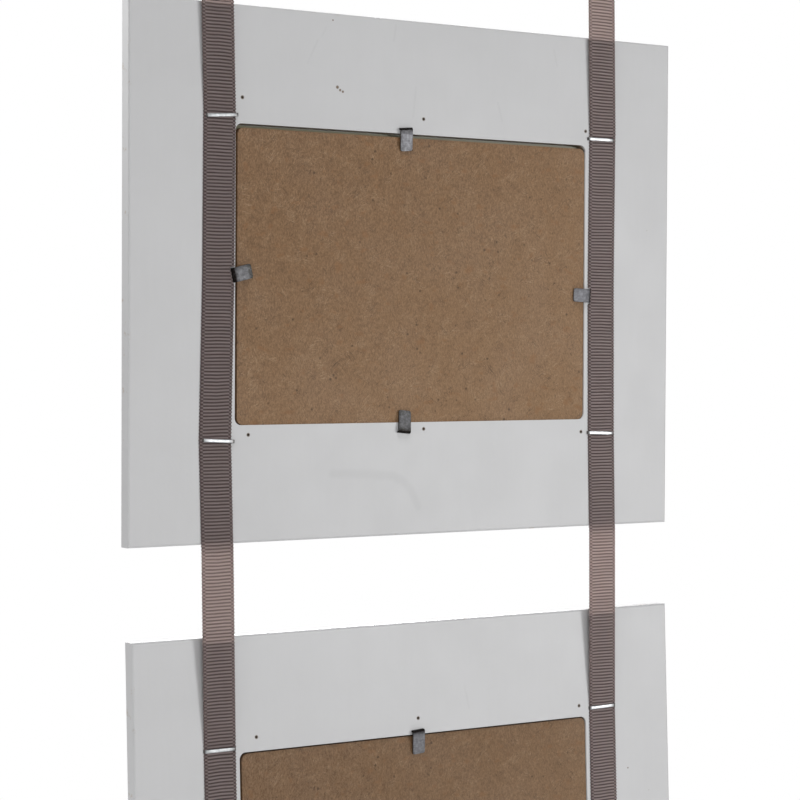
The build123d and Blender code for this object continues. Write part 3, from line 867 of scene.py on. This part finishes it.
def tab_path(reach):
    """The middle line of a tab, from inside the board, over the bend and down to the tip."""
    slope = tab_slope(reach)
    turn = math.pi / 2 + slope
    set_back = TAB_BEND * math.tan(turn / 2)
    foot = -(TAB_THICKNESS / 2 + TAB_HEIGHT + TAB_IN_BOARD)
    path = [((y, 0), (0, 1)) for y in (foot, (foot - set_back) / 2, -set_back)]
    for i in range(1, TAB_BEND_STEPS):
        a = turn * i / TAB_BEND_STEPS
        point = (-set_back + TAB_BEND * math.sin(a), TAB_BEND * (math.cos(a) - 1))
        path.append((point, (math.sin(a), math.cos(a))))
    halves = [TAB_WIDTH / 2] * len(path)
    along = (-math.sin(slope), -math.cos(slope))
    up = (math.cos(slope), -math.sin(slope))
    tip = [reach - TAB_TIP_RADIUS * (1 - t) for t in TAB_TIP_ROWS]
    for out in [set_back] + TAB_ROWS + tip:
        into = max(0.0, out - reach + TAB_TIP_RADIUS)
        path.append(((along[0] * out, along[1] * out), up))
        rounding = math.sqrt(max(0.0, TAB_TIP_RADIUS ** 2 - into ** 2))
        halves.append(TAB_WIDTH / 2 - TAB_TIP_RADIUS + rounding)
    return path, halves


def turned(degrees):
    """A turn about Y, in the plane of a panel."""
    return Matrix.Rotation(math.radians(degrees), 4, "Y")


def tab_place(panel, side):
    """The frame of a tab: its bend lies at the origin and its tongue runs down."""
    along, outside, _, turn = TAB_MARKS[panel][side]
    sideways = side in ("left", "right")
    half = (OPENING_WIDTH if sideways else OPENING_HEIGHT) / 2
    across = Matrix.Translation((0, 0, along) if sideways else (along, 0, 0))
    edge = turned(TAB_EDGES[side]) @ Matrix.Translation((0, TAB_BEND_Y, half + outside))
    return PLACES[panel] @ across @ edge @ turned(turn)


def tab_piece(panel, side, material):
    """A bent strip of sheet steel, driven into the board and pressed down on the hardboard."""
    reach = TAB_MARKS[panel][side][2]
    slope = tab_slope(reach)
    path, halves = tab_path(reach)
    place = tab_place(panel, side)
    bm = strip(path, TAB_WIDTH, TAB_THICKNESS, TAB_EASE, halves)
    scale = bm.verts.layers.float.new("scale")
    soil = bm.verts.layers.float.new("soil")
    film, tip_soil, bend_shade = TAB_SOIL_AND_SHADE[side]
    for v in bm.verts:
        # Soiling towards the tip and all over, and painted shade towards the bend, in one layer
        at_tip = smooth((-v.co.z - reach + TIP_SOIL) / TIP_SOIL_FADE)
        at_bend = 1 - smooth((-v.co.z - BROAD_BEND_SHADE) / BROAD_BEND_SHADE_FADE)
        v[soil] = min(1.0, film + tip_soil * at_tip + bend_shade * at_bend)
        # Painted shade on the bend and on the cut edges, kept in the scale attribute
        bend = 1 - smooth((-v.co.z - BEND_PAINTED_SHADE) / BEND_PAINTED_SHADE_FADE)
        off = abs(v.co.y * math.cos(slope) - v.co.z * math.sin(slope))
        cut_edge = 1 - smooth((off - EDGE_PAINTED_SHADE) / EDGE_PAINTED_SHADE_FADE)
        v[scale] = max(bend, cut_edge)
    body = f"{panel}_panel"
    piece = shown(f"{body}_{side}_tab_strip", bm, place, material)
    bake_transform(piece)
    nodes = [f"{body}_{side}_tab"]
    if side == "top":
        nodes.append(f"{body}_tab_legs")
    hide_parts(*nodes)


def staple_path():
    """The middle line of a staple, up one leg, along the crown and down the other."""
    rise = STAPLE_SEAT + STAPLE_THICKNESS / 2
    half = (STAPLE_CROWN - STAPLE_THICKNESS) / 2
    radius = STAPLE_RADIUS
    path = [((-half, rise - STAPLE_LEG), (-1, 0)), ((-half, rise - radius), (-1, 0))]
    for i in range(1, STAPLE_STEPS):
        a = math.pi / 2 * i / STAPLE_STEPS
        point = (-half + radius - radius * math.cos(a), rise - radius + radius * math.sin(a))
        path.append((point, (-math.cos(a), math.sin(a))))
    shoulder = path[::-1]
    for t in (-1, -0.6, -0.2, 0.2, 0.6, 1):
        sag = STAPLE_SAG * (1 - t * t)
        path.append((((half - radius) * t, rise - sag), (0, 1)))
    for (x, y), (nx, ny) in shoulder:
        path.append(((-x, y), (-nx, ny)))
    return path


def staple_pieces(panel, material):
    """The four staples of a panel, of bright flat wire with painted shade on their shoulders and legs."""
    whole = bmesh.new()
    for mark, (shift, up, turn) in STAPLE_MARKS[panel].items():
        row, side = mark.split("_")
        z = up + (TOP_STAPLE_Z if row == "top" else BOTTOM_STAPLE_Z)
        flat = [((y, -x), (ny, -nx)) for (x, y), (nx, ny) in staple_path()]
        bm = strip(flat, STAPLE_WIDTH, STAPLE_THICKNESS, STAPLE_EASE)
        scale = bm.verts.layers.float.new("scale")
        # Painted shade on the shoulders and legs, kept in the scale attribute
        for v in bm.verts:
            v[scale] = smooth((abs(v.co.z - STAPLE_MIDDLE) - STAPLE_PAINTED_SHADE) / STAPLE_PAINTED_SHADE_FADE)
        place = Matrix.Translation((SIDES[side] * RIBBON_X + shift, 0, z)) @ turned(turn)
        bm.transform(place @ turned(-90))
        part = bpy.data.meshes.new("staple")
        bm.to_mesh(part)
        bm.free()
        whole.from_mesh(part)
        bpy.data.meshes.remove(part)
    piece = shown(f"{panel}_panel_staple_wires", whole, PLACES[panel], material)
    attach(piece, f"{panel}_panel")
    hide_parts(f"{panel}_panel_staples")


# The section of a rolled eyelet: out from its axis, and along it from the middle of the hem
EYELET_SECTION = (
    (2.5, -0.55), (2.72, -0.82), (3.2, -0.98), (3.8, -0.92),
    (4.4, -0.74), (4.75, -0.52), (4.72, -0.47), (3.02, -0.47),
    (3.02, 0.47), (4.60, 0.47), (4.66, 0.56), (4.3, 0.80),
    (3.7, 0.98), (3.1, 1.0), (2.68, 0.86), (2.5, 0.58),
)
EYELET_STEPS = 56
WELD = 0.001


def eyelet_pieces(material):
    """Two rolled eyelets: a barrel with a domed flange on both sides of the hem."""
    bm = bmesh.new()
    for sign in SIDES.values():
        centre = Vector((sign * RIBBON_X, HEM_GAP / 2, 0))
        ring = [bm.verts.new(centre + Vector((r, y, 0))) for r, y in EYELET_SECTION]
        loop = [bm.edges.new((a, b)) for a, b in zip(ring, ring[1:] + ring[:1])]
        bmesh.ops.spin(bm, geom=ring + loop, cent=centre, axis=(0, 1, 0), angle=math.tau,
                       steps=EYELET_STEPS, use_merge=True)
    bmesh.ops.remove_doubles(bm, verts=bm.verts[:], dist=WELD)
    piece = shown("rolled_eyelets", bm, PLACES["hanger"], material)
    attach(piece, "hanger")
    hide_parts("eyelets")


# Finishes
# Each ribbon's finish: first the colour of the painted shade in its grooves, then the colour of its ribs
ribbon_finish = {
    "right": grosgrain("taupe_grosgrain", (0.060, 0.040, 0.039), (0.234, 0.187, 0.180)),
    "left": grosgrain("paler_taupe_grosgrain", (0.069, 0.046, 0.045), (0.286, 0.229, 0.220)),
}
# The scale colours are the painted shade on tab bends, cut edges and staple shoulders
tab_finish = bent_steel("galvanised_tab_steel", pale=(0.268, 0.269, 0.287), dark=(0.163, 0.163, 0.175),
                        rough=0.52, scale=(0.012, 0.009, 0.008)).material
staple_finish = bent_steel("bright_staple_wire", pale=(0.53, 0.54, 0.55), dark=(0.38, 0.39, 0.40),
                           rough=0.34, scale=(0.07, 0.065, 0.06), scratch=(900, 30, 30)).material
brad_finish = steel("dull_brad_steel", pale=(0.11, 0.085, 0.065), dark=(0.045, 0.034, 0.026),
                    rough=0.6).material
eyelet_finish = steel("nickel_eyelet", pale=(0.74, 0.71, 0.66), dark=(0.60, 0.58, 0.54), rough=0.24).material
glass_finish = window_glass()

# Brads stand in a row above and a row below the opening
BRAD_CORNER = OPENING_WIDTH / 2 - 3.0
BRAD_ROW = OPENING_HEIGHT / 2 + 5.5
BRAD_CHIP = 0.9
# How far each brad stands off its even spacing, towards +X and up
BRAD_MARKS = {
    "top": (((1.2, -0.6), (2.0, 0.5), (-1.4, 1.2)), ((-0.8, 1.0), (-1.6, 1.8), (0.9, -0.5))),
    "middle": (((-3.0, 0.0), (-1.9, 0.35), (0.3, 3.65)), ((-1.7, 0.65), (-2.6, 2.95), (-2.5, 2.05))),
    "bottom": (((0.2, -1.2), (1.2, 0.4), (-4.0, -0.45)), ((0.6, 1.4), (-2.2, 0.7), (1.5, -0.9))),
}


def brad_chips(panel):
    """The chipped lacquer round each brad, as specks."""
    chips = []
    for row, z in zip(BRAD_MARKS[panel], (BRAD_ROW, -BRAD_ROW)):
        for x, (across, up) in zip((-BRAD_CORNER, 0.0, BRAD_CORNER), row):
            chips.append((x + across, z + up, BRAD_CHIP))
    return chips


def on_back(x, z):
    """The place of a mark on the back of a board."""
    return x, BOARD_BACK, z


# Marks on the backs of the boards, across and up from the panel's centre: specks with a size, and lines
BOARD_SPECKS = {
    "top": [(-61.0, -70.0, 0.5), (22.0, 74.0, 0.4)],
    "middle": [(35.6, 68.5, 0.8), (34.45, 67.5, 0.62), (33.3, 67.0, 0.6), (37.6, 92.5, 0.4)],
    "bottom": [(52.0, -66.0, 0.6), (-98.0, 31.0, 0.4)],
}
BOARD_SCRATCHES = {
    "top": [[(-40.0, 88.0), (-37.0, 79.0)], [(15.0, -70.0), (16.5, -82.0)], [(104.0, 20.0), (106.0, 9.0)]],
    "middle": [[(48.1, 76.3), (43.9, 84.9)], [(42.2, 86.4), (40.5, 89.4)], [(10.5, 92.9), (11.4, 87.0)],
               [(1.6, 70.4), (2.8, 59.6)], [(-35.6, 67.2), (-37.6, 60.5)], [(-61.9, 89.1), (-63.4, 83.1)]],
    "bottom": [[(-20.0, 70.0), (-22.0, 61.0)], [(35.0, -72.0), (33.0, -86.0)],
               [(-106.0, -30.0), (-104.0, -41.0)]],
}
BOARD_SMEARS = {
    "top": [[(-14.0, 80.0), (-2.0, 82.5), (9.0, 81.0)]],
    "middle": [[(36.8, -71.5), (23.1, -71.9), (10.9, -73.0), (6.5, -75.0), (2.9, -78.4), (-0.2, -84.5)]],
    "bottom": [[(-44.0, -78.0), (-30.0, -75.0), (-22.0, -78.0)]],
}

for panel in PANELS:
    body = f"{panel}_panel"
    specks = [(on_back(x, z), size) for x, z, size in BOARD_SPECKS[panel] + brad_chips(panel)]
    scratches = [[on_back(*point) for point in line] for line in BOARD_SCRATCHES[panel]]
    smears = [[on_back(*point) for point in line] for line in BOARD_SMEARS[panel]]
    board_finish = lacquer(f"{panel}_board_lacquer", PLACES[panel], specks, scratches, smears,
                           bare_walls=True)
    paint(f"{body}_board", board_finish)
    for rail in ("top", "bottom", "left", "right"):
        paint(f"{body}_moulding_{rail}_rail", lacquer(f"{panel}_{rail}_rail_lacquer", PLACES[panel]))
    paint(f"{body}_backing_board", hardboard(f"{panel}_hardboard", PLACES[panel], HARDBOARD_SHADE[panel]))
    paint(f"{body}_glass", glass_finish)
    card_piece(panel, blank_card(f"{panel}_card_stock", PLACES[panel]))
    paint(f"{body}_brads", brad_finish)
    staple_pieces(panel, staple_finish)
    for side in TAB_EDGES:
        tab_piece(panel, side, tab_finish)
for side in SIDES:
    for index in range(len(RUN_ENDS) - 1):
        ribbon_piece(side, index, ribbon_finish[side])
eyelet_pieces(eyelet_finish)

# Floor, in metres
FLOOR_DROP = 0.06
FLOOR_RADIUS = 0.78
FLOOR_THICKNESS = 0.02
FLOOR_RIM = 0.006
FLOOR_SIDES = 128

floor_z = cad_box[0][2] - FLOOR_DROP
disc = bmesh.new()
bmesh.ops.create_cone(disc, cap_ends=True, segments=FLOOR_SIDES, radius1=FLOOR_RADIUS,
                      radius2=FLOOR_RADIUS, depth=FLOOR_THICKNESS)
rim = [e for e in disc.edges if abs(e.verts[0].co.z - e.verts[1].co.z) < FLOOR_RIM]
bmesh.ops.bevel(disc, geom=rim, offset=FLOOR_RIM, offset_type="OFFSET", segments=4, profile=0.5,
                affect="EDGES", material=-1)
floor = shown("studio_floor", disc, Matrix.Translation((0, 0, floor_z - FLOOR_THICKNESS / 2)), studio_floor())

# Camera, as fitted to the edges of the panels
CAMERA_PLACE = Vector((0.46627, 0.708976, -0.385077))
VIEW = Vector((-0.544508, -0.837537, -0.045195))
VIEW_RIGHT = Vector((-0.838703, 0.544286, 0.01817))
VIEW_UP = Vector((-0.009381, -0.047799, 0.998813))
LENS = 102.4986
SENSOR = 36.0
NEAREST = 0.01

camera = bpy.data.objects.new("camera", bpy.data.cameras.new("camera"))
camera.data.sensor_width = SENSOR
camera.data.lens = LENS
camera.data.clip_start = NEAREST
looking = Matrix((VIEW_RIGHT, VIEW_UP, -VIEW)).transposed()
camera.matrix_world = Matrix.Translation(CAMERA_PLACE) @ looking.to_4x4()
bpy.context.scene.collection.objects.link(camera)
bpy.context.scene.camera = camera


def softbox(name, place, target, size, power):
    """A round white light that faces its target."""
    light = bpy.data.lights.new(name, "AREA")
    light.shape = "DISK"
    light.size = size
    light.energy = power
    lamp = bpy.data.objects.new(name, light)
    lamp.location = place
    lamp.rotation_euler = (Vector(target) - Vector(place)).to_track_quat("-Z", "Y").to_euler()
    bpy.context.scene.collection.objects.link(lamp)


# Each light: its place, its target, how wide it is and its power
softbox("key_light", (-0.72, 1.00, -0.40), (0.0, 0.0, -0.42), 0.48, 5.30)
softbox("fill_light", (0.70, 1.90, -0.15), (0.0, 0.0, -0.42), 1.1, 6.8)
softbox("top_light", (0.20, 0.55, 1.10), (0.0, 0.0, -0.40), 0.8, 12.5)
softbox("side_light", (1.70, 0.30, -0.35), (0.0, 0.0, -0.40), 0.8, 7.5)
softbox("front_key", (-0.75, -1.30, 0.05), (0.0, 0.0, -0.38), 0.6, 13.0)
softbox("front_fill", (0.95, -1.60, 0.30), (0.0, 0.0, -0.38), 1.0, 18.0)

# White surroundings, which light the frame only a little
SURROUND_LIGHT = 0.07
SURROUND_SEEN = 1.0
world = bpy.data.worlds.new("white_studio")
world.use_nodes = True
sky = world.node_tree.nodes["Background"]
sky.inputs["Color"].default_value = (1, 1, 1, 1)
seen = world.node_tree.nodes.new("ShaderNodeLightPath").outputs["Is Camera Ray"]
strength = world.node_tree.nodes.new("ShaderNodeMapRange")
strength.inputs["To Min"].default_value = SURROUND_LIGHT
strength.inputs["To Max"].default_value = SURROUND_SEEN
world.node_tree.links.new(seen, strength.inputs["Value"])
world.node_tree.links.new(strength.outputs["Result"], sky.inputs["Strength"])
bpy.context.scene.world = world
bpy.context.scene.view_settings.view_transform = "Standard"
